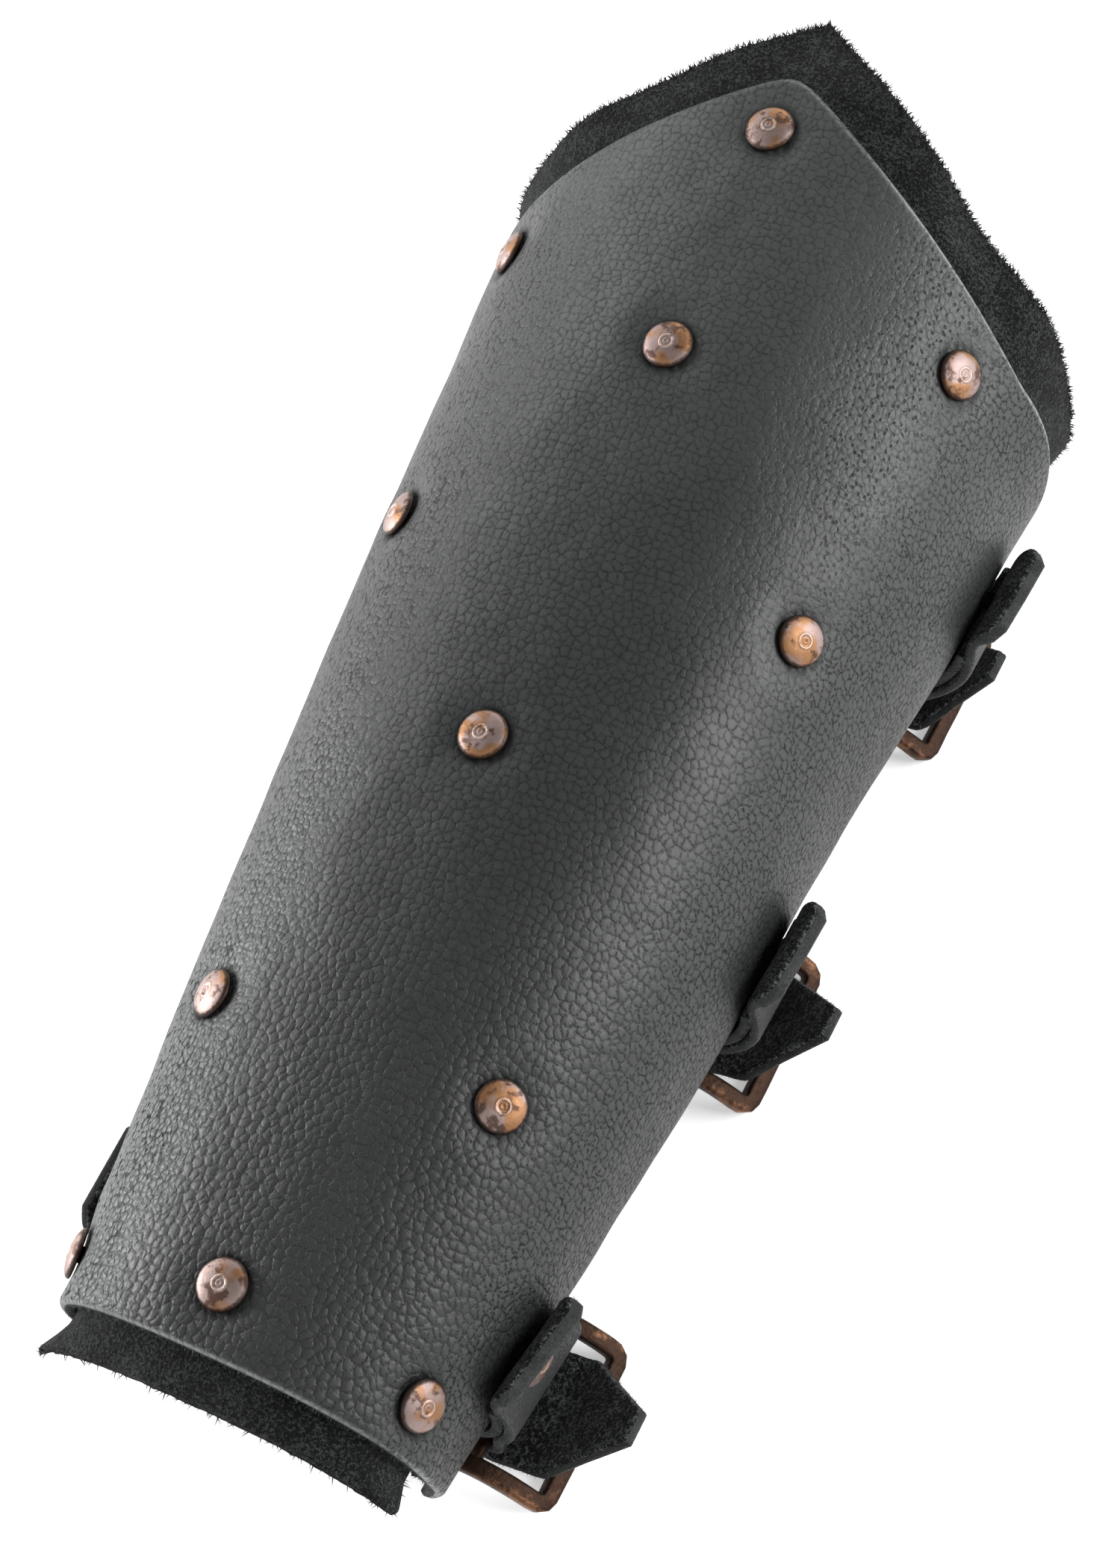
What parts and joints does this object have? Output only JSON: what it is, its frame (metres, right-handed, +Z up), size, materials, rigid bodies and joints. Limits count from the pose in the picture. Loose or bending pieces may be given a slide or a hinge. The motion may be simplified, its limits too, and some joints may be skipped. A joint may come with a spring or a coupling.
{
  "type": "leather bracer",
  "caption": "Tapered leather forearm guard with a pointed elbow end, suede liner, domed rivets and straps closed under the arm by centre-bar buckles.",
  "frame": {"origin": "middle of the bounding box, at the level of the table it lies on", "axes": "+Y along the arm to the pointed elbow end, +Z up from the straps to the crown, +X to the buckle side"},
  "size_m": [0.1146, 0.2462, 0.0997],
  "materials": {
    "grain_leather": "dark grey pebbled grain, satin",
    "suede": "near-black napped suede",
    "strap_leather": "dark grey strap leather with a rough flesh side",
    "copper": "worn copper with dark patina",
    "antique_copper": "antiqued dark copper, brighter at the edges"
  },
  "bodies": {
    "root": {"plate": "grain_leather", "liner": "suede", "rivet_wrist_far": "copper", "rivet_wrist_near": "copper", "rivet_lower_far": "copper", "rivet_lower_near": "copper", "rivet_upper_far": "copper", "rivet_upper_near": "copper", "rivet_elbow_far": "copper", "rivet_elbow_near": "copper", "rivet_crown_wrist": "copper", "rivet_crown_lower": "copper", "rivet_crown_upper": "copper", "rivet_crown_point": "copper", "tab_wrist": "strap_leather", "tab_middle": "strap_leather", "tab_elbow": "strap_leather", "tab_rivet_wrist": "copper", "tab_rivet_middle": "copper", "tab_rivet_elbow": "copper", "strap_wrist": "strap_leather", "strap_middle": "strap_leather", "strap_elbow": "strap_leather", "strap_rivet_wrist": "copper", "strap_rivet_middle": "copper", "strap_rivet_elbow": "copper", "buckle_frame_wrist": "antique_copper", "buckle_frame_middle": "antique_copper", "buckle_frame_elbow": "antique_copper", "buckle_tongue_wrist": "antique_copper", "buckle_tongue_middle": "antique_copper", "buckle_tongue_elbow": "antique_copper"}
  },
  "joints": []
}
